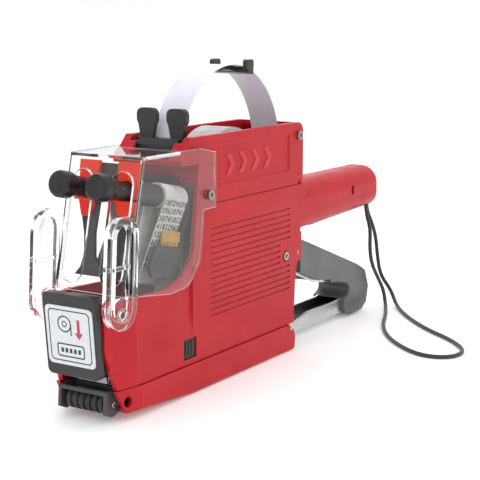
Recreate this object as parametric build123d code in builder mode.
"""Two-line price labeling gun, as separate pieces with real joints.

Frame: X runs back along the gun, from the label nose (-X) to the end of the handle (+X).
-Y is the gun's left side, +Z is up, and Z = 0 is the surface that it stands on.
All sizes are millimetres.
"""
import math
import os

from build123d import *

os.makedirs("parts", exist_ok=True)

# ---------------------------------------------------------------- driving sizes
HALF_WIDTH = 18.4          # side planes of the case
WALL = 2.4                 # case wall
INNER = HALF_WIDTH - WALL  # inner face of the side walls
TRAY_TOP = 14.2            # top edge of the red base tray, where the case begins
CASE_TOP = 117.5
CASE_REAR = 33.0
NOSE_FRONT = -127.5        # front edge of the side cheeks
CHEEK_HALF = 14.8          # half width of the cheeks at the nose
FIT = 0.3                  # gap between pieces that don't touch
RUNNING = 0.05             # radial clearance of a turning pin

HANDLE_END = 134.0
HANDLE_HALF = 12.5
HANDLE_TOP = 84.7
HANDLE_WALL = 2.6

LEVER_PIVOT = (36.0, 49.0)     # x, z of the trigger's pivot
DRIVE_PIN = (20.0, 22.0)       # x, z of the pin where the trigger pulls the link
HEAD_PIVOT = (-10.0, 62.0)     # x, z of the print head's rocker shaft
HEAD_TILT = 12.0               # degrees that the head is raised at rest
ROCKER_PIN = (7.0, -42.0)      # driven pin, from the rocker shaft, with the head level
LEVER_PIN_D = 5.0
HEAD_SHAFT_D = 6.0
LINK_PIN_D = 3.0
HINGE_PIN_D = 2.6

LABEL_WIDTH = 16.0
PAPER = 0.4                    # label strip with its backing
PLATEN_TOP = 36.0
ROLL_CENTRE = (-18.0, 92.5)
ROLL_RADIUS = 25.6
CORE_RADIUS = 9.0

BANK_Y = 9.9                   # each selector shaft, left and right of the middle
BANDS = 8                      # type bands in each line
BAND_PITCH = 2.1
KNOB_AXIS = 15.2               # height of the selector shafts above the rocker shaft, head level
BAND_REAR = -61.4              # rear end of the row of bands, from the rocker shaft
TYPE_FACE = -24.4              # printing face, from the rocker shaft, head level

STRAP_D = 2.2


# ---------------------------------------------------------------- helpers
def side(y):
    """The XZ plane at this y. Local x is world X and local y is world Z; extrude goes to -Y."""
    return Plane.XZ.offset(-y)


def head_side(y):
    """The same plane in the print head's own frame: origin on the rocker shaft, tilted as at rest."""
    tilt = math.radians(HEAD_TILT)
    return Plane(
        origin=(HEAD_PIVOT[0], y, HEAD_PIVOT[1]),
        x_dir=(math.cos(tilt), 0, -math.sin(tilt)),
        z_dir=(0, -1, 0),
    )


def head_point(u, y, v):
    """World place of a point in the print head's frame."""
    return head_side(y).from_local_coords(Vector(u, v, 0))


def along_head(u, y, v):
    """A plane square to the head's long axis, through (u, y, v); local x is +Y, local y is up."""
    tilt = math.radians(HEAD_TILT)
    return Plane(
        origin=head_point(u, y, v),
        x_dir=(0, 1, 0),
        z_dir=(math.cos(tilt), 0, -math.sin(tilt)),
    )


def save(part, label):
    """Label a finished piece and write it as its own STEP file."""
    part.label = label
    export_step(part, f"parts/{label}.step")


def cross_pin(label, centre, diameter, half_length):
    """A plain pin lying along Y."""
    with BuildPart() as pin:
        with BuildSketch(side(half_length)):
            with Locations(centre):
                Circle(diameter / 2)
        extrude(amount=2 * half_length)
    save(pin.part, label)


def end_pins(label, centre, diameter, inner, length):
    """A pair of short pins on one line along Y, one in each side, from the inner face outward."""
    with BuildPart() as pins:
        for s in (-1, 1):
            with BuildSketch(side(s * inner)):
                with Locations(centre):
                    Circle(diameter / 2)
            extrude(amount=-s * length)
    save(pins.part, label)


# ---------------------------------------------------------------- case
CASE_OUTLINE = [
    (24.5, TRAY_TOP + FIT), (26.0, 36.0), (30.0, 58.0), (35.0, 82.0), (CASE_REAR, 87.0),
    (CASE_REAR, CASE_TOP), (-66.0, CASE_TOP), (-75.0, 108.0), (-75.0, 105.5), (-61.5, 105.5),
    (-66.0, 66.0), (-74.0, 56.0), (-88.0, 52.5), (-110.0, 53.5), (-126.0, 53.5),
    (NOSE_FRONT, 46.0), (-125.0, 30.0), (-119.0, TRAY_TOP + FIT),
]
CASE_CAVITY = [
    (24.0, 0.0), (24.0, 30.0), (27.6, 58.0), (32.2, 82.0), (30.4, 88.0), (30.4, CASE_TOP - 5),
    (28.6, CASE_TOP - 2.4), (28.6, 130.0), (-61.0, 130.0), (-61.0, CASE_TOP - 4), (-71.5, 108.2),
    (-71.5, 107.6), (-61.0, 107.6), (-61.0, 96.0), (-140.0, 96.0), (-140.0, 0.0),
]
CASE_PLAN = [
    (40.0, HALF_WIDTH), (-108.0, HALF_WIDTH), (-128.0, CHEEK_HALF),
    (-128.0, -CHEEK_HALF), (-108.0, -HALF_WIDTH), (40.0, -HALF_WIDTH),
]
CAVITY_PLAN = [
    (50.0, INNER), (-107.6, INNER), (-141.0, INNER - 6.0),
    (-141.0, 6.0 - INNER), (-107.6, -INNER), (50.0, -INNER),
]
GROOVES = 15
GROOVE_PITCH = 2.92
GROOVE_TOP = 74.6
GROOVE_FRONT = -52.0
GROOVE_REAR = 20.6
SCREW_BOSS = (16.7, 50.6)      # case screw in the middle of the side
TOP_SCREW = (28.0, 111.0)
HANDLE_SCREW = (100.0, 74.0)
LATCH_SLOT = (-68.5, 21.8)     # centre of the slot for the base latch
LATCH_SIZE = (10.4, 9.6)
VISOR_SCREW = (-55.5, 91.0)
VISOR_STUD = (-121.0, 48.5)
FORK_PIVOT = (-64.5, 112.5)
FORK_HALF = 14.2
FORK_BODY = 10.6               # half width of the fork's body, between the case's front corners
TRAY_HINGE = (21.5, 12.0)      # hinge line of the base tray
NOSE_HINGE = (-119.5, 22.5)    # hinge line of the nose cover
INK_PIVOT = (-113.0, 27.0)     # pivot of the ink roller's arm
INK_PIN_D = 2.0
TRAY_LUG = (13.2, 16.2)        # inner and outer face of the case's hinge lugs
BLIND = HALF_WIDTH - 1.1       # how far out the pin holes go, and at the narrower nose
INK_BLIND = 16.3
NOSE_BLIND = 15.4


def outline(points):
    """A closed polygon in the current sketch, on its own coordinates."""
    Polygon(*points, align=None)


with BuildPart() as case_cavity:
    with BuildSketch(side(0)):
        outline(CASE_CAVITY)
    extrude(amount=INNER, both=True)
    with BuildSketch(Plane.XY):
        outline(CAVITY_PLAN)
    extrude(amount=140, mode=Mode.INTERSECT)

# The handle is a closed tube that runs into the case and is hollow all along.
HANDLE_BOTTOM_FRONT = 57.5
HANDLE_BOTTOM_END = 61.5


def handle_outline(inset, start):
    """Side view of the handle, drawn in by the inset."""
    return [
        (start, HANDLE_TOP - inset), (HANDLE_END - inset, HANDLE_TOP - inset),
        (HANDLE_END - inset, HANDLE_BOTTOM_END + inset), (start, HANDLE_BOTTOM_FRONT + inset),
    ]


with BuildPart() as handle_outer:
    with BuildSketch(side(0)):
        outline(handle_outline(0, 25.0))
    extrude(amount=HANDLE_HALF, both=True)
    long_edges = [
        e for e in handle_outer.edges()
        if abs(e.tangent_at(0.5).X) > 0.9 and e.length > 50
    ]
    top_edges = ShapeList(long_edges).sort_by(Axis.Z)[-2:]
    low_edges = ShapeList(long_edges).sort_by(Axis.Z)[:2]
    fillet(top_edges, radius=10.0)
    fillet(low_edges, radius=8.0)
    fillet(handle_outer.faces().sort_by(Axis.X)[-1].edges(), radius=5.5)

with BuildPart() as handle_inner:
    with BuildSketch(side(0)):
        outline(handle_outline(HANDLE_WALL, 20.0))
    extrude(amount=HANDLE_HALF - HANDLE_WALL, both=True)
    long_edges = [
        e for e in handle_inner.edges()
        if abs(e.tangent_at(0.5).X) > 0.9 and e.length > 50
    ]
    fillet(ShapeList(long_edges), radius=6.0)

LEVER_GAP = 11.4               # half width of the opening that the trigger passes through
STRAP_EXIT = (124.5, -7.0)     # middle of the strap slot in the handle's lower left edge

with BuildPart() as case:
    with BuildSketch(side(0)):
        outline(CASE_OUTLINE)
    extrude(amount=HALF_WIDTH, both=True)
    with BuildSketch(Plane.XY):
        outline(CASE_PLAN)
    extrude(amount=140, mode=Mode.INTERSECT)
    rear_corner = [
        e for e in case.edges().filter_by(Axis.Y)
        if abs(e.center().X - CASE_REAR) < 0.1 and abs(e.center().Z - CASE_TOP) < 0.1
    ]
    fillet(rear_corner, radius=5.0)
    window_corner = [
        e for e in case.edges().filter_by(Axis.Y)
        if abs(e.center().X + 66.0) < 0.1 and abs(e.center().Z - 66.0) < 0.1
    ]
    fillet(window_corner, radius=9.0)
    # Front flanks are set in above a sloping facet.
    for s in (-1, 1):
        with BuildSketch(Plane.YZ.offset(-107.0)):
            outline([
                (s * 20.0, 60.0), (s * (HALF_WIDTH - 1.1), 60.0), (s * (HALF_WIDTH - 1.1), 38.5),
                (s * HALF_WIDTH, 25.8), (s * 20.0, 25.8),
            ])
        extrude(amount=41.0, mode=Mode.SUBTRACT)
    add(handle_outer.part)
    add(case_cavity.part, mode=Mode.SUBTRACT)
    add(handle_inner.part, mode=Mode.SUBTRACT)
    # Grip grooves on both sides, the middle ones shorter beside the screw boss.
    for i in range(GROOVES):
        z = GROOVE_TOP - i * GROOVE_PITCH
        rear = GROOVE_REAR - 9.5 if 6 <= i <= 9 else GROOVE_REAR
        for s in (-1, 1):
            with BuildSketch(side(s * HALF_WIDTH)):
                with Locations(((GROOVE_FRONT + rear) / 2, z)):
                    SlotOverall(rear - GROOVE_FRONT, 1.1)
            extrude(amount=0.7, both=True, mode=Mode.SUBTRACT)
    for s in (-1, 1):
        # Seam line under the roll compartment, and the shallow plain panel above it.
        with BuildSketch(side(s * HALF_WIDTH)):
            with Locations((-9.0, 86.2)):
                Rectangle(82.0, 1.0)
        extrude(amount=0.8, both=True, mode=Mode.SUBTRACT)
        with BuildSketch(side(s * HALF_WIDTH)):
            with Locations((-13.5, 103.0)):
                RectangleRounded(66.0, 18.6, 1.5)
        extrude(amount=0.5, both=True, mode=Mode.SUBTRACT)
        with BuildSketch(side(s * HALF_WIDTH)):
            with Locations((29.3, 87.0)):
                Circle(1.1)
        extrude(amount=1.4, both=True, mode=Mode.SUBTRACT)
        # Recesses for the side screw and the latch slot.
        with BuildSketch(side(s * HALF_WIDTH)):
            with Locations(SCREW_BOSS):
                Circle(3.0)
        extrude(amount=1.2, both=True, mode=Mode.SUBTRACT)
        with BuildSketch(side(s * HALF_WIDTH)):
            with Locations(LATCH_SLOT):
                Rectangle(*LATCH_SIZE)
        extrude(amount=4.0, both=True, mode=Mode.SUBTRACT)
    # Notch in the front edge of both cheeks, beside the nose cover.
    with BuildSketch(side(0)):
        outline([(-130.0, 35.4), (-125.6, 35.4), (-125.6, 48.8), (-130.0, 48.8)])
    extrude(amount=HALF_WIDTH, both=True, mode=Mode.SUBTRACT)
    # Opening in the rear wall for the trigger, up to the underside of the handle.
    with BuildSketch(Plane.YZ.offset(15.0)):
        with Locations((0, 34.0)):
            Rectangle(2 * LEVER_GAP, 46.0)
    extrude(amount=25.0, mode=Mode.SUBTRACT)
    # Relief in the handle's underside, so the trigger can close against it.
    with BuildSketch(side(0)):
        outline([(33.0, 50.0), (62.0, 50.0), (62.0, 60.6), (33.0, 60.6)])
    extrude(amount=LEVER_GAP - 1.6, both=True, mode=Mode.SUBTRACT)
    # Pocket at the top front for the guide fork.
    with BuildSketch(side(0)):
        outline([(-68.5, 106.8), (-60.0, 106.8), (-60.0, 130.0), (-68.5, 130.0)])
    extrude(amount=FORK_HALF + FIT, both=True, mode=Mode.SUBTRACT)
    with BuildSketch(side(0)):
        outline([(-80.0, 107.8), (-66.0, 107.8), (-66.0, 130.0), (-80.0, 130.0)])
    extrude(amount=FORK_BODY + FIT, both=True, mode=Mode.SUBTRACT)
    # Screw holes go through the side walls, and pin holes stop inside them.
    for centre, diameter, depth in (
        (VISOR_SCREW, 2.6, 25.0), (SCREW_BOSS, 2.6, 25.0), (TOP_SCREW, 2.6, 25.0),
        (VISOR_STUD, 3.0, 25.0), (HEAD_PIVOT, HEAD_SHAFT_D, BLIND), (ROLL_CENTRE, 5.0, BLIND),
        (FORK_PIVOT, 3.0, BLIND), (INK_PIVOT, INK_PIN_D, INK_BLIND),
        (NOSE_HINGE, HINGE_PIN_D, NOSE_BLIND),
    ):
        with BuildSketch(side(0)):
            with Locations(centre):
                Circle(diameter / 2)
        extrude(amount=depth, both=True, mode=Mode.SUBTRACT)
    with BuildSketch(side(0)):
        with Locations(HANDLE_SCREW):
            SlotOverall(5.4, 3.4, rotation=90)
    extrude(amount=20.0, both=True, mode=Mode.SUBTRACT)
    # Slot for the wrist strap.
    with BuildSketch(Plane.XY.offset(55.0)):
        with Locations(STRAP_EXIT):
            SlotOverall(11.0, 5.4)
    extrude(amount=12.0, mode=Mode.SUBTRACT)


def case_half(keep, label):
    """One moulded half of the case, with its half of the handle."""
    s = 1 if keep == Keep.BOTTOM else -1
    with BuildPart() as half:
        add(case.part)
        split(bisect_by=Plane.XZ, keep=keep)
        # Lugs inside the rear opening that carry the trigger's pivot.
        with BuildSketch(side(s * LEVER_GAP)):
            with Locations(LEVER_PIVOT):
                Circle(5.2)
            outline([(24.0, 44.0), (34.5, 44.0), (40.5, 52.0), (40.5, 59.5), (24.0, 59.5)])
        extrude(amount=-s * 2.2)
        # Lugs under the rear edge that carry the base tray's hinge.
        with BuildSketch(side(s * TRAY_LUG[0])):
            with Locations(TRAY_HINGE):
                Circle(2.8)
            outline([(18.7, 12.0), (24.0, 12.0), (24.0, 20.0), (18.7, 20.0)])
        extrude(amount=-s * (TRAY_LUG[1] - TRAY_LUG[0]))
        for centre, diameter in ((LEVER_PIVOT, LEVER_PIN_D), (TRAY_HINGE, HINGE_PIN_D)):
            with BuildSketch(side(0)):
                with Locations(centre):
                    Circle(diameter / 2)
            extrude(amount=25.0, both=True, mode=Mode.SUBTRACT)
    save(half.part, label)


case_half(Keep.TOP, "left_shell")
case_half(Keep.BOTTOM, "right_shell")


# ---------------------------------------------------------------- clear visor
VISOR_OUT = 20.4
VISOR_IN = 18.7
VISOR_TOP = 112.6
VISOR_SIDE = [
    (-104.5, VISOR_TOP), (-62.0, VISOR_TOP), (-50.0, 110.0), (-50.0, 84.5), (-59.5, 84.5),
    (-62.5, 62.0), (-72.0, 51.5), (-86.0, 50.6), (-117.6, 55.0),
]
VISOR_INSIDE = [
    (-103.0, VISOR_TOP - 1.6), (-76.4, VISOR_TOP - 1.6), (-76.4, 125.0), (-40.0, 125.0),
    (-40.0, 40.0), (-117.9, 40.0), (-115.9, 55.0),
]
SLOT_HALF = 5.75               # half width of each knob slot
SLOT_Y = 10.75
SLOT_BOTTOM = 58.0
SLOT_TOP = 106.0
RAIL_TOP = (-119.2, 80.6)      # centres of the rounded ends of the side rails
RAIL_LOW = (-121.4, 51.2)
RAIL_OUT = 9.2
RAIL_IN = 5.7
RAIL_Y = (18.0, 21.9)          # inner and outer face of the side rails


def rail_slot(radius, mode=Mode.ADD):
    """The long rounded outline of a side rail."""
    (x0, z0), (x1, z1) = RAIL_TOP, RAIL_LOW
    length = math.hypot(x1 - x0, z1 - z0)
    turn = math.degrees(math.atan2(z0 - z1, x0 - x1))
    with Locations(((x0 + x1) / 2, (z0 + z1) / 2)):
        SlotCenterToCenter(length, 2 * radius, rotation=turn, mode=mode)


with BuildPart() as visor:
    with BuildSketch(side(0)):
        outline(VISOR_SIDE)
    extrude(amount=VISOR_OUT, both=True)
    front_corners = [
        e for e in visor.edges()
        if e.center().X < -105 and abs(abs(e.center().Y) - VISOR_OUT) < 0.1
        and abs(e.tangent_at(0.5).Z) > 0.9
    ]
    fillet(front_corners, radius=3.2)
    window_corners = [
        e for e in visor.edges().filter_by(Axis.Y)
        if abs(e.center().Z - 62.0) < 0.1 or abs(e.center().Z - 51.5) < 0.1
    ]
    fillet(window_corners, radius=7.0)
    with BuildSketch(side(0)):
        outline(VISOR_INSIDE)
    extrude(amount=VISOR_IN, both=True, mode=Mode.SUBTRACT)
    for s in (-1, 1):
        with BuildSketch(Plane.YZ.offset(-125.0)):
            with Locations((s * SLOT_Y, (SLOT_BOTTOM + SLOT_TOP) / 2)):
                SlotOverall(SLOT_TOP - SLOT_BOTTOM, 2 * SLOT_HALF, rotation=90)
        extrude(amount=24.0, mode=Mode.SUBTRACT)
        # Side rail in front of each corner, with a cross rib and a boss at its lower end.
        with BuildSketch(side(s * RAIL_Y[1])):
            rail_slot(RAIL_OUT)
            rail_slot(RAIL_IN, mode=Mode.SUBTRACT)
        extrude(amount=s * (RAIL_Y[1] - RAIL_Y[0]))
        with BuildSketch(side(s * 20.6)):
            with Locations((-120.0, 68.0)):
                Rectangle(2 * RAIL_IN + 1.6, 1.6)
            with Locations(VISOR_STUD):
                Circle(RAIL_IN + 1.2)
        extrude(amount=s * 1.9)
    for centre, diameter in ((VISOR_STUD, 3.2), (VISOR_SCREW, 2.8)):
        with BuildSketch(side(0)):
            with Locations(centre):
                Circle(diameter / 2)
        extrude(amount=25.0, both=True, mode=Mode.SUBTRACT)
save(visor.part, "visor")


# ---------------------------------------------------------------- fasteners
SCREW_HEAD = 4.5
SCREW_HEAD_DEEP = 1.5
SCREW_SHANK = 2.4
CROSS_WIDE = 0.7               # width and depth of the cross in a screw's head
CROSS_DEEP = 0.8


def screws(label, places):
    """Cross-head screws in both sides, heads outward, at each (centre, height of the face)."""
    with BuildPart() as group:
        for centre, face in places:
            for s in (-1, 1):
                with BuildSketch(side(s * face)):
                    with Locations(centre):
                        Circle(SCREW_HEAD / 2)
                extrude(amount=-s * SCREW_HEAD_DEEP)
                with BuildSketch(side(s * face)):
                    with Locations(centre):
                        Circle(SCREW_SHANK / 2)
                extrude(amount=s * 5.0)
                for turn in (30, 120):
                    with BuildSketch(side(s * (face + SCREW_HEAD_DEEP))):
                        with Locations(centre):
                            Rectangle(SCREW_HEAD * 0.62, CROSS_WIDE, rotation=turn)
                    extrude(amount=s * CROSS_DEEP, mode=Mode.SUBTRACT)
    save(group.part, label)


screws("visor_screws", [(VISOR_SCREW, VISOR_OUT)])
screws("case_screws", [(SCREW_BOSS, HALF_WIDTH - 1.2), (TOP_SCREW, HALF_WIDTH)])
with BuildPart() as handle_screw:
    with BuildSketch(side(-HANDLE_HALF + 3.4)):
        with Locations(HANDLE_SCREW):
            Circle(1.2)
    extrude(amount=-18.0)
    with BuildSketch(side(-HANDLE_HALF + 1.0)):
        with Locations(HANDLE_SCREW):
            Circle(1.7)
    extrude(amount=-2.4)
save(handle_screw.part, "handle_screw")

with BuildPart() as visor_studs:
    for s in (-1, 1):
        with BuildSketch(side(s * 14.4)):
            with Locations(VISOR_STUD):
                Circle(1.45)
        extrude(amount=-s * 6.9)
        with BuildSketch(side(s * 20.7)):
            with Locations(VISOR_STUD):
                Circle(3.0)
        extrude(amount=-s * 1.2)
save(visor_studs.part, "visor_studs")


# ---------------------------------------------------------------- nose and base
NOSE_FACE = -131.0             # front of the nose cover at its top edge
NOSE_BACK = -127.8             # back of its face plate there
NOSE_TOP = 56.6
NOSE_TALL = 36.4
NOSE_LEAN = 5.0                # the foot of the face stands back, in degrees
NOSE_SIGN = (25.4, 26.0)


def nose_plane(ahead):
    """Plane of the leaning nose face, moved forward, with its origin at the top edge."""
    lean = math.radians(NOSE_LEAN)
    at = (NOSE_FACE - ahead * math.cos(lean), 0, NOSE_TOP - ahead * math.sin(lean))
    return Plane(origin=at, x_dir=(0, 1, 0), z_dir=(math.cos(lean), 0, math.sin(lean)))


with BuildPart() as nose_cover:
    with BuildSketch(nose_plane(0)):
        with Locations((0, -NOSE_TALL / 2)):
            RectangleRounded(28.4, NOSE_TALL, 2.6)
    extrude(amount=NOSE_BACK - NOSE_FACE)
    # Short side walls behind the face, and a lug at the foot of each for the hinge.
    for s in (-1, 1):
        with BuildSketch(side(s * 10.4)):
            outline([
                (NOSE_BACK + 2.9, 21.0), (-120.5, 20.2), (-118.0, 20.2), (-116.9, 22.5),
                (-118.2, 25.0), (-123.2, 27.0), (-123.2, 53.2), (NOSE_BACK, 53.2),
            ])
        extrude(amount=-s * 1.6)
    # Roof plate that runs back between the cheeks, with a rectangular window.
    with BuildSketch(Plane.XY.offset(51.6)):
        with Locations((-120.9, 0)):
            Rectangle(13.8, 24.0)
        with Locations((-118.6, 0)):
            Rectangle(6.0, 12.0, mode=Mode.SUBTRACT)
    extrude(amount=1.6)
    with BuildSketch(side(0)):
        with Locations(NOSE_HINGE):
            Circle(HINGE_PIN_D / 2)
    extrude(amount=20.0, both=True, mode=Mode.SUBTRACT)
save(nose_cover.part, "nose_cover")

end_pins("nose_hinge_pins", NOSE_HINGE, HINGE_PIN_D - 2 * RUNNING, 10.4, NOSE_BLIND - 10.5)

with BuildPart() as nose_plate:
    with BuildSketch(nose_plane(0.6)):
        with Locations((0, -NOSE_TALL / 2)):
            RectangleRounded(*NOSE_SIGN, 3.2)
    extrude(amount=0.6)
save(nose_plate.part, "nose_plate")

TRAY_HALF = 19.3
TRAY_WALL = 2.0
TRAY_OUTLINE = [
    (19.0, TRAY_TOP), (23.6, 10.8), (25.0, 7.0), (24.0, 0.0), (-66.0, 0.0), (-114.5, 3.6),
    (-120.4, TRAY_TOP),
]
TRAY_HOLLOW = [
    (21.0, 20.0), (21.0, 2.2), (-66.0, 2.2), (-112.5, 5.6), (-125.0, 5.6), (-125.0, 20.0),
]
TRAY_PLAN = [
    (40.0, TRAY_HALF), (-106.0, TRAY_HALF), (-121.0, 16.6),
    (-121.0, -16.6), (-106.0, -TRAY_HALF), (40.0, -TRAY_HALF),
]
with BuildPart() as tray_hollow:
    with BuildSketch(side(0)):
        outline(TRAY_HOLLOW)
    extrude(amount=TRAY_HALF - TRAY_WALL, both=True)
    with BuildSketch(Plane.XY.offset(-2.0)):
        outline([
            (40.0, 17.3), (-106.0, 17.3), (-125.0, 13.9),
            (-125.0, -13.9), (-106.0, -17.3), (40.0, -17.3),
        ])
    extrude(amount=40.0, mode=Mode.INTERSECT)
with BuildPart() as base_tray:
    with BuildSketch(side(0)):
        outline(TRAY_OUTLINE)
    extrude(amount=TRAY_HALF, both=True)
    with BuildSketch(Plane.XY.offset(-2.0)):
        outline(TRAY_PLAN)
    extrude(amount=40.0, mode=Mode.INTERSECT)
    low_edges = [
        e for e in base_tray.edges()
        if abs(abs(e.center().Y) - TRAY_HALF) < 0.1 and abs(e.center().Z) < 0.1
    ]
    fillet(low_edges, radius=2.0)
    add(tray_hollow.part, mode=Mode.SUBTRACT)
    # Front is open between the cheeks, and the rear wall is low, with a gate for the trigger.
    with BuildSketch(Plane.YZ.offset(-125.0)):
        with Locations((0, 8.0)):
            Rectangle(27.6, 20.0)
    extrude(amount=13.0, mode=Mode.SUBTRACT)
    with BuildSketch(Plane.YZ.offset(18.0)):
        with Locations((0, 16.6)):
            Rectangle(33.4, 16.0)
    extrude(amount=10.0, mode=Mode.SUBTRACT)
    with BuildSketch(Plane.YZ.offset(3.0)):
        Rectangle(20.0, 40.0)
    extrude(amount=25.0, mode=Mode.SUBTRACT)
    with BuildSketch(side(0)):
        with Locations((-114.0, 8.6)):
            Circle(2.5)
    extrude(amount=TRAY_HALF, both=True, mode=Mode.SUBTRACT)
    with BuildSketch(side(0)):
        with Locations(TRAY_HINGE):
            Circle(HINGE_PIN_D / 2)
    extrude(amount=TRAY_HALF, both=True, mode=Mode.SUBTRACT)
save(base_tray.part, "base_tray")

end_pins("tray_hinge_pins", TRAY_HINGE, HINGE_PIN_D - 2 * RUNNING, TRAY_LUG[0], 5.9)

FEED_WHEEL = (-86.0, 17.0)
FEED_RADIUS = 8.0
FEED_AXLE_D = 3.0
PAWL_PIN = (-66.4, 18.4)
PAWL_PIN_D = 1.6
with BuildPart() as carrier:
    for s in (-1, 1):
        with BuildSketch(side(s * 9.2)):
            outline([
                (-62.0, 2.3), (-62.0, 26.0), (-68.0, 33.6), (-106.0, 33.6), (-112.0, 28.0),
                (-112.0, 8.0), (-104.0, 5.8), (-90.0, 4.6), (-66.0, 2.3),
            ])
        extrude(amount=-s * 2.2)
    with BuildSketch(side(0)):
        outline([(-69.0, 31.4), (-69.0, 33.6), (-106.0, 33.6), (-106.0, 31.4)])
        outline([(-62.0, 2.3), (-62.0, 4.3), (-72.0, 4.3), (-72.0, 2.75)])
    extrude(amount=9.4, both=True)
    for centre, diameter in ((FEED_WHEEL, FEED_AXLE_D), (PAWL_PIN, PAWL_PIN_D)):
        with BuildSketch(side(0)):
            with Locations(centre):
                Circle(diameter / 2)
        extrude(amount=20.0, both=True, mode=Mode.SUBTRACT)
save(carrier.part, "platen_carrier")

with BuildPart() as platen:
    with BuildSketch(side(0)):
        outline([(-71.0, 33.6), (-71.0, PLATEN_TOP), (-97.0, PLATEN_TOP), (-97.0, 33.6)])
    extrude(amount=8.2, both=True)
    top = platen.faces().sort_by(Axis.Z)[-1]
    fillet(top.edges().filter_by(Axis.Y), radius=0.8)
save(platen.part, "platen")

with BuildPart() as peel_plate:
    with BuildSketch(side(0)):
        outline([
            (-106.0, 33.6), (-106.0, 34.8), (-110.0, 34.8), (-114.9, 30.0), (-114.9, 15.0),
            (-114.0, 15.0), (-114.0, 29.6), (-109.6, 33.6),
        ])
    extrude(amount=8.2, both=True)
save(peel_plate.part, "peel_plate")

TEETH = 12
with BuildPart() as feed_wheel:
    with BuildSketch(side(8.0)):
        with Locations(FEED_WHEEL):
            Circle(FEED_RADIUS - 1.0)
    extrude(amount=16.0)
    for y in (7.0, -5.0):
        with BuildSketch(side(y)):
            with Locations(FEED_WHEEL):
                with PolarLocations(FEED_RADIUS - 1.0, TEETH):
                    Polygon((-0.6, -0.9), (1.0, -0.35), (1.0, 0.35), (-0.6, 0.9), align=None)
        extrude(amount=2.0)
    with BuildSketch(side(0)):
        with Locations(FEED_WHEEL):
            Circle(FEED_AXLE_D / 2)
    extrude(amount=20.0, both=True, mode=Mode.SUBTRACT)
save(feed_wheel.part, "feed_wheel")
with BuildPart() as feed_pins:
    for centre, diameter in ((FEED_WHEEL, FEED_AXLE_D - 2 * RUNNING), (PAWL_PIN, PAWL_PIN_D)):
        with BuildSketch(side(11.4)):
            with Locations(centre):
                Circle(diameter / 2)
        extrude(amount=22.8)
save(feed_pins.part, "feed_pins")

with BuildPart() as feed_pawl:
    with BuildSketch(side(2.5)):
        outline([
            (-66.0, 22.0), (-63.6, 20.4), (-66.6, 15.6), (-75.6, 16.6), (-77.4, 18.2),
            (-75.4, 18.9), (-69.0, 18.6),
        ])
        with Locations(PAWL_PIN):
            Circle(PAWL_PIN_D / 2, mode=Mode.SUBTRACT)
    extrude(amount=5.0)
save(feed_pawl.part, "feed_pawl")

ROLLER = (-117.8, 7.6)
ROLLER_PIN_D = 2.6
with BuildPart() as roller_bracket:
    for s in (-1, 1):
        with BuildSketch(side(s * 11.6)):
            outline([
                (-103.0, 5.8), (-103.0, 9.0), (-112.2, 14.0), (-122.8, 14.0), (-123.6, 4.4),
                (-119.4, 2.4), (-113.4, 3.9), (-111.6, 5.8),
            ])
        extrude(amount=-s * 1.6)
    with BuildSketch(side(0)):
        outline([(-121.0, 12.4), (-121.0, 14.0), (-122.8, 14.0), (-123.0, 12.4)])
        outline([(-112.2, 6.4), (-112.2, 13.6), (-113.0, 13.6), (-113.0, 6.4)])
    extrude(amount=11.8, both=True)
    with BuildSketch(side(0)):
        with Locations(ROLLER):
            Circle(ROLLER_PIN_D / 2)
    extrude(amount=20.0, both=True, mode=Mode.SUBTRACT)
save(roller_bracket.part, "roller_bracket")

with BuildPart() as applicator_roller:
    with BuildSketch(side(10.2)):
        with Locations(ROLLER):
            Circle(3.6)
    extrude(amount=20.4)
    for i in range(6):
        with BuildSketch(side(9.4 - 3.5 * i)):
            with Locations(ROLLER):
                Circle(4.6)
        extrude(amount=1.9)
    with BuildSketch(side(0)):
        with Locations(ROLLER):
            Circle(ROLLER_PIN_D / 2)
    extrude(amount=20.0, both=True, mode=Mode.SUBTRACT)
save(applicator_roller.part, "applicator_roller")
cross_pin("roller_axle", ROLLER, ROLLER_PIN_D - 2 * RUNNING, 13.4)

for s, label in ((-1, "latch_button_left"), (1, "latch_button_right")):
    with BuildPart() as latch:
        with BuildSketch(side(s * 13.6)):
            with Locations(LATCH_SLOT):
                Rectangle(LATCH_SIZE[0] - 0.6, LATCH_SIZE[1] - 0.6)
        extrude(amount=-s * 4.0)
        with BuildSketch(side(s * 13.6)):
            outline([(-73.4, 17.3), (-73.4, 11.0), (-63.6, 11.0), (-63.6, 17.3)])
        extrude(amount=-s * 1.4)
        ribs = [(LATCH_SLOT[0] + d, LATCH_SLOT[1]) for d in (-2.4, 0, 2.4)]
        with BuildSketch(side(s * 17.6)):
            with Locations(*ribs):
                Rectangle(0.9, LATCH_SIZE[1] - 2.6)
        extrude(amount=-s * 0.5)
    save(latch.part, label)


# ---------------------------------------------------------------- labels
ARCH = (-17.0, 104.0)          # centre of the arch that the label strip makes over the gun
ARCH_R = 43.4
STRIP_X = ARCH[0] - ARCH_R
STRIP_BEND = 9.0
NOSE_X = -116.0
NOSE_BEND = 6.0
STRIP_LOW = PLATEN_TOP + 0.15
REAR_X = ARCH[0] + ARCH_R

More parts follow.
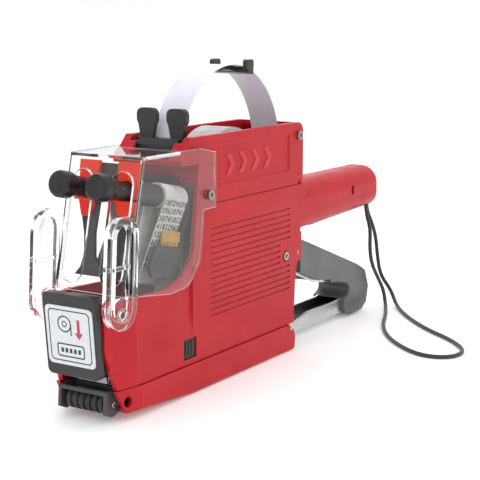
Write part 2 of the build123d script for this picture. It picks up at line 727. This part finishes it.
with BuildPart() as label_strip:
    with BuildSketch(side(0)):
        # From the roll's underside round the back, over the top and down at the front.
        with BuildLine():
            l1 = CenterArc(ARCH, ARCH_R, 0, 180)
            l2 = Line(l1 @ 1, (STRIP_X, STRIP_LOW + STRIP_BEND))
            l3 = Line(l2 @ 1, (STRIP_X - PAPER, STRIP_LOW + STRIP_BEND))
            l4 = Line(l3 @ 1, (STRIP_X - PAPER, ARCH[1]))
            l5 = CenterArc(ARCH, ARCH_R + PAPER, 180, -180)
            l6 = Line(l5 @ 1, (REAR_X + PAPER, 100.0))
            l7 = ThreePointArc(l6 @ 1, (21.6, 86.0), (8.2, 77.6))
            l8 = Line(l7 @ 1, (8.0, 78.1))
            l9 = ThreePointArc(l8 @ 1, (21.1, 86.4), (REAR_X, 100.0))
            l10 = Line(l9 @ 1, l1 @ 0)
        make_face()
    extrude(amount=LABEL_WIDTH / 2, both=True)
save(label_strip.part, "label_strip")

with BuildPart() as label_tail:
    with BuildSketch(side(0)):
        # Over the platen, and round the nose to the peel edge.
        with BuildLine():
            bend_x = STRIP_X - STRIP_BEND
            nose_x = NOSE_X + NOSE_BEND
            t1 = CenterArc((bend_x, STRIP_LOW + STRIP_BEND), STRIP_BEND, 0, -90)
            t2 = Line(t1 @ 1, (nose_x, STRIP_LOW))
            t3 = CenterArc((nose_x, STRIP_LOW - NOSE_BEND), NOSE_BEND, 90, 90)
            t4 = Line(t3 @ 1, (NOSE_X, 15.4))
            t5 = Line(t4 @ 1, (NOSE_X - PAPER, 15.4))
            t6 = Line(t5 @ 1, (NOSE_X - PAPER, STRIP_LOW - NOSE_BEND))
            t7 = CenterArc((nose_x, STRIP_LOW - NOSE_BEND), NOSE_BEND + PAPER, 180, -90)
            t8 = Line(t7 @ 1, (bend_x, STRIP_LOW + PAPER))
            t9 = CenterArc((bend_x, STRIP_LOW + STRIP_BEND), STRIP_BEND - PAPER, -90, 90)
            t10 = Line(t9 @ 1, t1 @ 0)
        make_face()
    extrude(amount=LABEL_WIDTH / 2, both=True)
save(label_tail.part, "label_tail")

with BuildPart() as backing:
    with BuildSketch(side(0)):
        outline([
            (-112.0, 14.4), (-108.0, 14.4), (-93.0, 8.2), (-86.0, 7.4), (-78.0, 8.2),
            (-72.2, 10.0), (-48.0, 13.0), (-48.0, 12.6), (-72.0, 9.6), (-78.0, 7.8),
            (-86.0, 7.0), (-93.2, 7.8), (-108.2, 14.0), (-112.0, 14.0),
        ])
    extrude(amount=LABEL_WIDTH / 2, both=True)
save(backing.part, "backing_strip")

with BuildPart() as label_roll:
    with BuildSketch(side(LABEL_WIDTH / 2)):
        with Locations(ROLL_CENTRE):
            Circle(ROLL_RADIUS)
            Circle(CORE_RADIUS, mode=Mode.SUBTRACT)
    extrude(amount=LABEL_WIDTH)
save(label_roll.part, "label_roll")

with BuildPart() as roll_hub:
    with BuildSketch(side(10.4)):
        with Locations(ROLL_CENTRE):
            Circle(CORE_RADIUS - 0.1)
            Circle(2.5, mode=Mode.SUBTRACT)
    extrude(amount=20.8)
    for y in (10.4, -8.8):
        with BuildSketch(side(y)):
            with Locations(ROLL_CENTRE):
                Circle(CORE_RADIUS + 3.0)
                Circle(2.5, mode=Mode.SUBTRACT)
        extrude(amount=1.6)
save(roll_hub.part, "roll_hub")
cross_pin("roll_spindle", ROLL_CENTRE, 5.0 - 2 * RUNNING, BLIND - 0.1)

EAR_FRONT = -63.8              # the fork's two ears stand just in front of the label strip
EAR_THICK = 2.6
with BuildPart() as guide_fork:
    with BuildSketch(Plane.YZ.offset(EAR_FRONT)):
        outline([(-FORK_HALF, 110.6), (FORK_HALF, 110.6), (FORK_HALF, 116.2), (-FORK_HALF, 116.2)])
        for s in (-1, 1):
            outline([(s * 5.4, 115.0), (s * 11.4, 115.0), (s * 13.7, 126.0), (s * 2.9, 126.0)])
            with Locations((s * 8.3, 125.6)):
                RectangleRounded(10.8, 8.0, 3.0)
    extrude(amount=EAR_THICK)
    with BuildSketch(side(0)):
        outline([
            (-67.4, 108.1), (EAR_FRONT + EAR_THICK, 108.1), (EAR_FRONT + EAR_THICK, 116.2),
            (-65.4, 116.2), (-67.4, 113.4),
        ])
    extrude(amount=FORK_BODY, both=True)
    with BuildSketch(side(FORK_HALF)):
        with Locations(FORK_PIVOT):
            Circle(2.6)
    extrude(amount=2 * FORK_HALF)
    with BuildSketch(side(0)):
        with Locations(FORK_PIVOT):
            Circle(1.5)
    extrude(amount=20.0, both=True, mode=Mode.SUBTRACT)
save(guide_fork.part, "guide_fork")
cross_pin("fork_pin", FORK_PIVOT, 3.0 - 2 * RUNNING, BLIND - 0.1)

ARM_OUT = ARCH_R - 0.3
ARM_THICK = 2.0
TAB_ANGLE = 72.0
with BuildPart() as guide_arm:
    with BuildSketch(side(0)):
        with BuildLine():
            a1 = CenterArc(ARCH, ARM_OUT, TAB_ANGLE, 180 - TAB_ANGLE)
            a2 = Line(a1 @ 1, (ARCH[0] - ARM_OUT, 98.0))
            a3 = Line(a2 @ 1, (ARCH[0] - ARM_OUT + ARM_THICK, 98.0))
            a4 = Line(a3 @ 1, (ARCH[0] - ARM_OUT + ARM_THICK, ARCH[1]))
            a5 = CenterArc(ARCH, ARM_OUT - ARM_THICK, 180, TAB_ANGLE - 180)
            a6 = Line(a5 @ 1, a1 @ 0)
        make_face()
    extrude(amount=3.4, both=True)
    with BuildSketch(side(0)):
        outline([
            (ARCH[0] - ARM_OUT, 97.6), (ARCH[0] - ARM_OUT, 101.6),
            (ARCH[0] - ARM_OUT + ARM_THICK, 101.6), (ARCH[0] - ARM_OUT + ARM_THICK, 97.6),
        ])
    extrude(amount=INNER - 0.05, both=True)
    tab_x = ARCH[0] + ARM_OUT * math.cos(math.radians(TAB_ANGLE))
    with BuildSketch(side(0)):
        outline([
            (tab_x - 3.4, 143.6), (tab_x - 3.4, 145.9), (tab_x + 1.0, 144.7), (tab_x + 1.0, 142.6),
        ])
    extrude(amount=10.8, both=True)
    for s in (-1, 1):
        with BuildSketch(side(s * 8.4)):
            with Locations((tab_x - 1.8, 147.2)):
                RectangleRounded(6.0, 5.2, 1.4)
        extrude(amount=-s * 2.4)
save(guide_arm.part, "guide_arm")


# ---------------------------------------------------------------- print head (drawn level)
PLATE_FRONT = -97.0            # front plate, from the rocker shaft
PLATE_REAR = -59.0
BAND_FRONT = BAND_REAR - BANDS * BAND_PITCH
WHEEL_R = 5.15
BAND_IN = 5.2
BAND_THICK = 0.7
NOSE_Y = 3.7                   # the bands come together over the label
NOSE_R = 1.2
NOSE_V = TYPE_FACE + NOSE_R + BAND_THICK
SHAFT_R = 2.2
SLEEVE_R = 3.9
KNOB_R = 5.9                   # drum at the end of a knob

with BuildPart() as head_frame:
    # Rocker arms, one each side of the label roll, with the driven arm below.
    for s in (-1, 1):
        with BuildSketch(head_side(s * 12.1)):
            Circle(6.0)
            outline([
                (-4.0, -6.0), (4.0, -5.0), (5.6, 2.0), (0.0, 6.0), (-38.0, 16.0),
                (PLATE_REAR, 21.0), (PLATE_REAR, 5.0), (-30.0, -1.0),
            ])
            outline([(-6.0, 0.0), (6.0, 0.0), (ROCKER_PIN[0] + 4.4, -40.0), (2.4, -40.0)])
            with Locations(ROCKER_PIN):
                Circle(4.6)
        extrude(amount=-s * 2.0)
        # Skirt that hides the lower runs of the bands from the side.
        with BuildSketch(head_side(s * 12.1)):
            outline([
                (PLATE_REAR, 5.0), (PLATE_REAR, -17.0), (-62.0, -20.4), (-79.0, -20.4),
                (-82.0, -16.0), (-78.6, -6.4), (PLATE_REAR - 2.0, -6.4), (PLATE_REAR - 2.0, 5.0),
            ])
        extrude(amount=-s * 2.0)
    # Rear plate of the head, which the bands taper away from.
    with BuildSketch(along_head(PLATE_REAR - 2.0, 0, 0)):
        outline([
            (-8.0, 25.0), (8.0, 25.0), (8.0, 21.0), (15.6, 21.0), (15.6, 6.0), (7.4, -16.0),
            (7.4, TYPE_FACE + 3.0), (-7.4, TYPE_FACE + 3.0), (-7.4, -16.0), (-15.6, 6.0),
            (-15.6, 21.0), (-8.0, 21.0),
        ])
    extrude(amount=2.0)
    # Front plate: a tapering column under each knob, joined by a flared foot.
    with BuildSketch(along_head(PLATE_FRONT, 0, 0)):
        outline([(-16.0, 14.0), (16.0, 14.0), (16.0, 26.8), (-16.0, 26.8)])
        for s in (-1, 1):
            outline([
                (s * 4.4, 15.0), (s * 15.4, 15.0), (s * 14.4, 6.0), (s * 11.4, -4.0),
                (s * 10.0, -13.0), (s * 11.4, -19.0), (s * 14.0, TYPE_FACE + 2.0),
                (0, TYPE_FACE + 2.0), (0, -18.0), (s * 4.0, -14.0), (s * 5.4, -4.0),
            ])
    extrude(amount=2.0)
    # Spine over the bands, and a sleeve round each shaft in front of them.
    with BuildSketch(along_head(PLATE_FRONT, 0, 0)):
        with Locations((0, 23.6)):
            Rectangle(8.0, 3.0)
    extrude(amount=PLATE_REAR - PLATE_FRONT)
    with BuildSketch(along_head(PLATE_FRONT + 2.0, 0, 0)):
        with Locations((-BANK_Y, KNOB_AXIS), (BANK_Y, KNOB_AXIS)):
            Circle(5.0)
    extrude(amount=BAND_FRONT - PLATE_FRONT - 2.4)
    with BuildSketch(along_head(PLATE_FRONT, 0, 0)):
        with Locations((-BANK_Y, KNOB_AXIS), (BANK_Y, KNOB_AXIS)):
            Circle(SHAFT_R + RUNNING)
    extrude(amount=60.0, mode=Mode.SUBTRACT)
    with BuildSketch(head_side(0)):
        Circle(HEAD_SHAFT_D / 2)
        with Locations(ROCKER_PIN):
            Circle(LINK_PIN_D / 2)
    extrude(amount=20.0, both=True, mode=Mode.SUBTRACT)
save(head_frame.part, "print_head_frame")

# A comb on each side that keeps the lower runs of the bands apart.
COMB_FRONT = -74.0
COMB_TEETH = 6
with BuildPart() as combs:
    for s in (-1, 1):
        with BuildSketch(head_side(s * 12.1)):
            outline([
                (COMB_FRONT, -0.2), (PLATE_REAR - 2.0, 0.6), (PLATE_REAR - 2.0, -4.2),
                (COMB_FRONT, -4.2),
            ])
            for i in range(COMB_TEETH):
                with Locations((COMB_FRONT + 1.0 + BAND_PITCH * i, -5.0)):
                    Rectangle(1.2, 2.4)
        extrude(amount=-s * 1.4)
save(combs.part, "band_combs")
cross_pin("rocker_shaft", HEAD_PIVOT, HEAD_SHAFT_D - 2 * RUNNING, BLIND - 0.1)

rocker_pin_at = head_point(ROCKER_PIN[0], 0, ROCKER_PIN[1])
ROCKER_PIN_WORLD = (rocker_pin_at.X, rocker_pin_at.Z)
cross_pin("rocker_pin", ROCKER_PIN_WORLD, LINK_PIN_D - 2 * RUNNING, 14.2)


def band_loop(s, upper, lower):
    """Belt outline round a selector wheel and the narrow nose under it."""
    with Locations((s * BANK_Y, KNOB_AXIS)):
        Circle(upper)
    with Locations((s * NOSE_Y, NOSE_V)):
        Circle(lower)
    make_hull()


INDICATOR_Y = 10.5             # the plates drop through the visor's knob slots
INDICATOR_WIDE = 10.6
for s, name in ((-1, "left"), (1, "right")):
    with BuildPart() as bands:
        for i in range(BANDS):
            u = BAND_REAR - (i + 1) * BAND_PITCH + 0.15
            with BuildSketch(along_head(u, 0, 0)):
                band_loop(s, BAND_IN + BAND_THICK, NOSE_R + BAND_THICK)
            extrude(amount=BAND_PITCH - 0.3)
            with BuildSketch(along_head(u, 0, 0)):
                band_loop(s, BAND_IN, NOSE_R)
            extrude(amount=BAND_PITCH - 0.3, mode=Mode.SUBTRACT)
    save(bands.part, f"type_bands_{name}")

    with BuildPart() as wheels:
        for i in range(BANDS):
            u = BAND_REAR - (i + 1) * BAND_PITCH + 0.15
            with BuildSketch(along_head(u, 0, 0)):
                with Locations((s * BANK_Y, KNOB_AXIS)):
                    Circle(WHEEL_R - 0.1)
                    Circle(SHAFT_R + 0.2, mode=Mode.SUBTRACT)
            extrude(amount=BAND_PITCH - 0.3)
    save(wheels.part, f"band_wheels_{name}")

    with BuildPart() as anvil:
        with BuildSketch(along_head(BAND_FRONT - 0.6, 0, 0)):
            with Locations((s * NOSE_Y, NOSE_V)):
                Circle(NOSE_R - 0.1)
        extrude(amount=BANDS * BAND_PITCH + 1.5)
    save(anvil.part, f"band_nose_bar_{name}")

    with BuildPart() as indicator:
        with BuildSketch(along_head(PLATE_FRONT - 1.8, 0, 0)):
            with Locations((s * INDICATOR_Y, 19.8)):
                Rectangle(INDICATOR_WIDE, 15.6)
            with Locations((s * BANK_Y, KNOB_AXIS)):
                Circle(SLEEVE_R + 0.6, mode=Mode.SUBTRACT)
        extrude(amount=1.8)
        with BuildSketch(along_head(PLATE_FRONT - 4.0, 0, 0)):
            with Locations((s * INDICATOR_Y, 10.5)):
                Rectangle(INDICATOR_WIDE, 1.0)
        extrude(amount=4.0)
        with BuildSketch(along_head(PLATE_FRONT - 2.6, 0, 0)):
            outline([
                (s * BANK_Y - 4.4, 10.4), (s * BANK_Y + 4.4, 10.4), (s * BANK_Y + 2.0, 3.2),
                (s * BANK_Y - 2.0, 3.2),
            ])
        extrude(amount=2.6)
    save(indicator.part, f"indicator_{name}")

    sleeve_front = PLATE_FRONT - 7.0
    with BuildPart() as sleeve:
        with BuildSketch(along_head(sleeve_front, 0, 0)):
            with Locations((s * BANK_Y, KNOB_AXIS)):
                Circle(SLEEVE_R)
                Circle(SHAFT_R + RUNNING, mode=Mode.SUBTRACT)
        extrude(amount=6.6)
    save(sleeve.part, f"selector_sleeve_{name}")

    tilt = math.radians(HEAD_TILT)
    knob_plane = Plane(
        origin=head_point(sleeve_front - 0.3, s * BANK_Y, KNOB_AXIS),
        x_dir=(-math.cos(tilt), 0, math.sin(tilt)),
        z_dir=(0, -1, 0),
    )
    with BuildPart() as knob:
        with BuildSketch(knob_plane):
            with BuildLine():
                k1 = Polyline((-46.0, 0.0), (-46.0, SHAFT_R), (0.0, SHAFT_R), (0.0, 4.4))
                k2 = Polyline(k1 @ 1, (5.6, 4.7), (8.2, 5.3), (9.4, KNOB_R), (13.6, KNOB_R))
                k3 = CenterArc((13.6, KNOB_R - 2.0), 2.0, 90, -90)
                k4 = Polyline(k3 @ 1, (16.0, 0.0), (-46.0, 0.0))
            make_face()
        revolve(axis=Axis(knob_plane.origin, knob_plane.x_dir))
    save(knob.part, f"knob_{name}")


# ---------------------------------------------------------------- ink roller
INK_ROLLER = (-115.0, 46.0)
INK_R = 4.2
with BuildPart() as ink_arm:
    for s in (-1, 1):
        with BuildSketch(side(s * 12.2)):
            with Locations(INK_PIVOT, INK_ROLLER):
                Circle(2.4)
            make_hull()
        extrude(amount=-s * 1.0)
    with BuildSketch(side(0)):
        with Locations(INK_PIVOT, INK_ROLLER):
            Circle(INK_PIN_D / 2)
    extrude(amount=25.0, both=True, mode=Mode.SUBTRACT)
save(ink_arm.part, "ink_arm")
with BuildPart() as ink_roller:
    with BuildSketch(side(8.4)):
        with Locations(INK_ROLLER):
            Circle(INK_R)
            Circle(INK_PIN_D / 2 + RUNNING, mode=Mode.SUBTRACT)
    extrude(amount=16.8)
save(ink_roller.part, "ink_roller")
cross_pin("ink_axle", INK_ROLLER, INK_PIN_D, 13.2)
end_pins("ink_pivot_pins", INK_PIVOT, INK_PIN_D - 2 * RUNNING, 12.0, INK_BLIND - 12.1)


# ---------------------------------------------------------------- trigger
CHANNEL_HALF = 7.6
STEEL = 1.2
CHANNEL_OUTLINE = [
    (31.0, 45.0), (31.0, 52.0), (34.0, 54.4), (41.0, 54.0), (111.0, 27.6), (120.0, 22.4),
    (123.8, 14.0), (122.0, 6.6), (116.5, 3.8), (60.0, 3.2), (27.0, 3.2), (15.8, 16.0),
    (15.8, 26.0), (24.4, 26.0), (29.6, 13.6), (44.0, 8.4), (58.0, 11.6), (92.0, 11.6),
    (100.6, 13.0), (103.0, 16.6), (100.6, 20.2), (90.0, 22.8), (66.0, 26.6), (46.0, 34.6),
    (39.6, 43.6),
]
CHANNEL_HOLLOW = [
    (42.0, 38.0), (42.0, 52.3), (110.5, 26.4), (118.9, 21.6), (122.5, 13.9), (121.0, 7.4),
    (116.2, 5.0), (60.0, 4.4), (28.0, 4.4), (12.0, 20.0), (12.0, 38.0),
]
with BuildPart() as lever_channel:
    with BuildSketch(side(0)):
        outline(CHANNEL_OUTLINE)
        with Locations(LEVER_PIVOT):
            Circle(5.4)
    extrude(amount=CHANNEL_HALF, both=True)
    with BuildSketch(side(0)):
        outline(CHANNEL_HOLLOW)
        with Locations(LEVER_PIVOT):
            Rectangle(14.0, 14.0)
    extrude(amount=CHANNEL_HALF - STEEL, both=True, mode=Mode.SUBTRACT)
    with BuildSketch(side(0)):
        with Locations(LEVER_PIVOT):
            Circle(LEVER_PIN_D / 2)
        with Locations(DRIVE_PIN):
            Circle(LINK_PIN_D / 2)
    extrude(amount=20.0, both=True, mode=Mode.SUBTRACT)
    with BuildSketch(Plane.XY):
        with Locations((46.0, 0.0)):
            Circle(2.2)
    extrude(amount=8.0, mode=Mode.SUBTRACT)
save(lever_channel.part, "trigger_channel")

COVER_HALF = 10.0
COVER_OUTLINE = [
    (46.0, 54.6), (112.0, 29.8), (121.6, 24.4), (126.0, 14.4), (123.8, 5.2), (117.6, 1.6),
    (103.6, 1.4), (103.6, 12.0), (106.4, 16.6), (103.4, 21.4), (91.0, 24.6), (66.0, 28.0),
    (46.0, 36.0),
]
COVER_HOLLOW = [
    (40.0, 55.2), (111.7, 28.1), (120.6, 22.8), (124.2, 14.2), (122.3, 6.2), (116.8, 3.5),
    (100.0, 3.0), (100.0, 12.0), (104.0, 16.6), (101.6, 19.8), (90.0, 22.4), (40.0, 30.0),
]
with BuildPart() as lever_cover:
    with BuildSketch(side(0)):
        outline(COVER_OUTLINE)
    extrude(amount=COVER_HALF, both=True)
    long_corners = [
        e for e in lever_cover.edges()
        if abs(abs(e.center().Y) - COVER_HALF) < 0.1 and e.center().Z > 25 and e.center().X > 60
        and e.length > 50
    ]
    fillet(long_corners, radius=1.8)
    with BuildSketch(side(0)):
        outline(COVER_HOLLOW)
    extrude(amount=CHANNEL_HALF + 0.05, both=True, mode=Mode.SUBTRACT)
save(lever_cover.part, "trigger_cover")

cross_pin("trigger_pivot_pin", LEVER_PIVOT, LEVER_PIN_D - 2 * RUNNING, 13.4)
cross_pin("drive_pin", DRIVE_PIN, LINK_PIN_D - 2 * RUNNING, 8.4)

with BuildPart() as spring:
    with BuildSketch(side(4.0)):
        with Locations(LEVER_PIVOT):
            Circle(4.3)
            Circle(3.0, mode=Mode.SUBTRACT)
    extrude(amount=8.0)
save(spring.part, "return_spring")

LINK_HALF = 2.4
with BuildPart() as drive_link:
    with BuildSketch(side(0)):
        with Locations(DRIVE_PIN, ROCKER_PIN_WORLD):
            Circle(4.0)
        make_hull()
    extrude(amount=LINK_HALF, both=True)
    with BuildSketch(side(0)):
        with Locations(DRIVE_PIN):
            Circle(LINK_PIN_D / 2)
        with Locations(ROCKER_PIN_WORLD):
            SlotOverall(4.6, LINK_PIN_D + 0.5)
    extrude(amount=LINK_HALF, both=True, mode=Mode.SUBTRACT)
save(drive_link.part, "drive_link")


# ---------------------------------------------------------------- wrist strap
with BuildPart() as strap_cleat:
    with BuildSketch(Plane.XY.offset(64.0)):
        with Locations(STRAP_EXIT):
            Rectangle(12.0, 5.6)
    extrude(amount=3.6)
save(strap_cleat.part, "strap_cleat")

FLOOR = 1.15                   # height of the strap's middle where it lies on the floor
STRAP_ROUTE = [
    (124.0, -8.2, 66.0), (123.6, -9.0, 57.5), (120.6, -13.6, 49.0), (118.0, -14.6, 38.0),
    (121.6, -14.4, 28.0), (130.6, -14.3, 18.0), (136.4, -15.2, 9.8), (130.6, -19.6, FLOOR),
    (112.0, -28.5, FLOOR), (92.0, -36.5, FLOOR), (71.5, -49.0, FLOOR), (54.5, -66.0, FLOOR),
    (45.0, -83.0, FLOOR), (51.0, -96.0, FLOOR), (66.0, -96.5, FLOOR), (82.0, -82.0, FLOOR),
    (97.0, -60.0, FLOOR), (117.5, -39.0, FLOOR), (137.0, -23.5, FLOOR), (143.5, -16.5, 9.0),
    (138.6, -11.6, 18.5), (137.2, -10.2, 30.0), (137.2, -8.8, 42.0), (133.0, -7.8, 51.5),
    (129.0, -6.6, 58.5), (128.6, -6.4, 66.0),
]


def corner_radii(route):
    """The largest comfortable arc at each corner: 0.45 of its shorter run over tan(half turn)."""
    radii = []
    for before, at, after in zip(route, route[1:], route[2:]):
        run_in = Vector(at) - Vector(before)
        run_out = Vector(after) - Vector(at)
        half_turn = math.radians(run_in.get_angle(run_out)) / 2
        radii.append(0.45 * min(run_in.length, run_out.length) / math.tan(half_turn))
    return radii


strap_radii = corner_radii(STRAP_ROUTE)
print("strap radii", [round(radius, 1) for radius in strap_radii])
with BuildPart() as wrist_strap:
    with BuildLine() as strap_line:
        FilletPolyline(*STRAP_ROUTE, radius=strap_radii)
    with BuildSketch(Plane(origin=strap_line.line @ 0, z_dir=strap_line.line % 0)):
        Circle(STRAP_D / 2)
    sweep(path=strap_line.line)
save(wrist_strap.part, "wrist_strap")
strap_length = sum(edge.length for edge in strap_line.line.edges())
strap_volume = math.pi * STRAP_D ** 2 / 4 * strap_length
print("strap length", round(strap_length, 1))
print("strap volume over section times length", round(wrist_strap.part.volume / strap_volume, 4))
